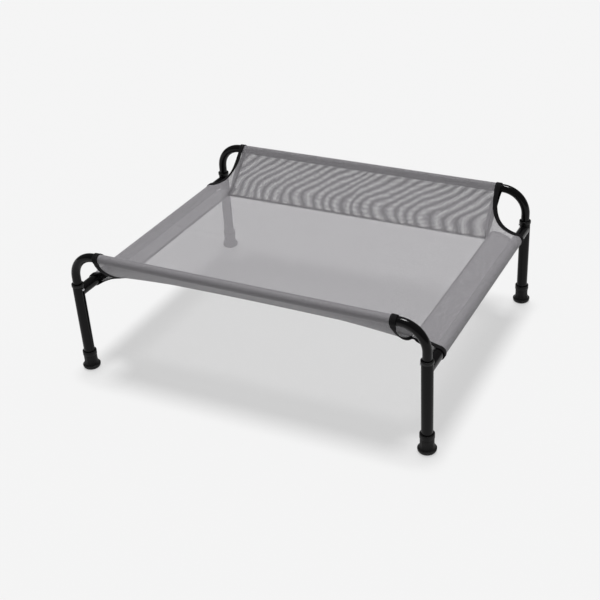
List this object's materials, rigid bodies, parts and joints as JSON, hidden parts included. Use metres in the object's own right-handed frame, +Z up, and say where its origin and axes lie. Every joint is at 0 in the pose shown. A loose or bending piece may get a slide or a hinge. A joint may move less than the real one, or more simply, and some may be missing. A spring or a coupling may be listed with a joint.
{
  "type": "raised dog bed",
  "caption": "Raised dog bed: a black tube frame on rubber feet holds a grey mesh sling with a bolster in front and behind.",
  "frame": {"origin": "on the floor, midway between the four legs", "axes": "+X along the long rails to the bed's right, +Y towards the rear, +Z up"},
  "size_m": [0.875, 0.689, 0.3093],
  "materials": {
    "frame_paint": "semi-gloss black powder coat",
    "foot_rubber": "moulded black rubber, satin",
    "collar_plastic": "moulded black plastic",
    "button_zinc": "zinc-plated steel",
    "spring_steel": "plain spring steel",
    "sling_mesh": "see-through grey woven mesh of coated yarn",
    "binding_tape": "black woven binding tape"
  },
  "bodies": {
    "frame_and_sling": {"leg_front_left": "frame_paint", "leg_front_right": "frame_paint", "leg_rear_left": "frame_paint", "leg_rear_right": "frame_paint", "front_rail_left_half": "frame_paint", "front_rail_right_half": "frame_paint", "rear_rail_left_half": "frame_paint", "rear_rail_right_half": "frame_paint", "side_rail_left": "frame_paint", "side_rail_right": "frame_paint", "foot_front_left": "foot_rubber", "foot_front_right": "foot_rubber", "foot_rear_left": "foot_rubber", "foot_rear_right": "foot_rubber", "leg_collar_front_left": "collar_plastic", "leg_collar_front_right": "collar_plastic", "leg_collar_rear_left": "collar_plastic", "leg_collar_rear_right": "collar_plastic", "button_spring_front_left": "spring_steel", "button_spring_front_right": "spring_steel", "button_spring_rear_left": "spring_steel", "button_spring_rear_right": "spring_steel", "sling_bed_panel": "sling_mesh", "sling_front_bolster": "sling_mesh", "sling_rear_bolster": "sling_mesh", "sling_left_sleeve": "sling_mesh", "sling_right_sleeve": "sling_mesh", "corner_binding_front_left": "binding_tape", "corner_binding_front_right": "binding_tape", "corner_binding_rear_left": "binding_tape", "corner_binding_rear_right": "binding_tape"},
    "button_front_left": {"snap_button_front_left": "button_zinc"},
    "button_front_right": {"snap_button_front_right": "button_zinc"},
    "button_rear_left": {"snap_button_rear_left": "button_zinc"},
    "button_rear_right": {"snap_button_rear_right": "button_zinc"}
  },
  "joints": [
    {"name": "press_button_front_left", "type": "slide", "parent": "frame_and_sling", "child": "button_front_left", "axis": [-1, 0, 0], "range_m": [0, 0.0055], "stiffness_N_per_m": 1500, "deforming": ["button_spring_front_left"]},
    {"name": "press_button_front_right", "type": "slide", "parent": "frame_and_sling", "child": "button_front_right", "axis": [1, 0, 0], "range_m": [0, 0.0055], "stiffness_N_per_m": 1500, "deforming": ["button_spring_front_right"]},
    {"name": "press_button_rear_left", "type": "slide", "parent": "frame_and_sling", "child": "button_rear_left", "axis": [-1, 0, 0], "range_m": [0, 0.0055], "stiffness_N_per_m": 1500, "deforming": ["button_spring_rear_left"]},
    {"name": "press_button_rear_right", "type": "slide", "parent": "frame_and_sling", "child": "button_rear_right", "axis": [1, 0, 0], "range_m": [0, 0.0055], "stiffness_N_per_m": 1500, "deforming": ["button_spring_rear_right"]}
  ]
}
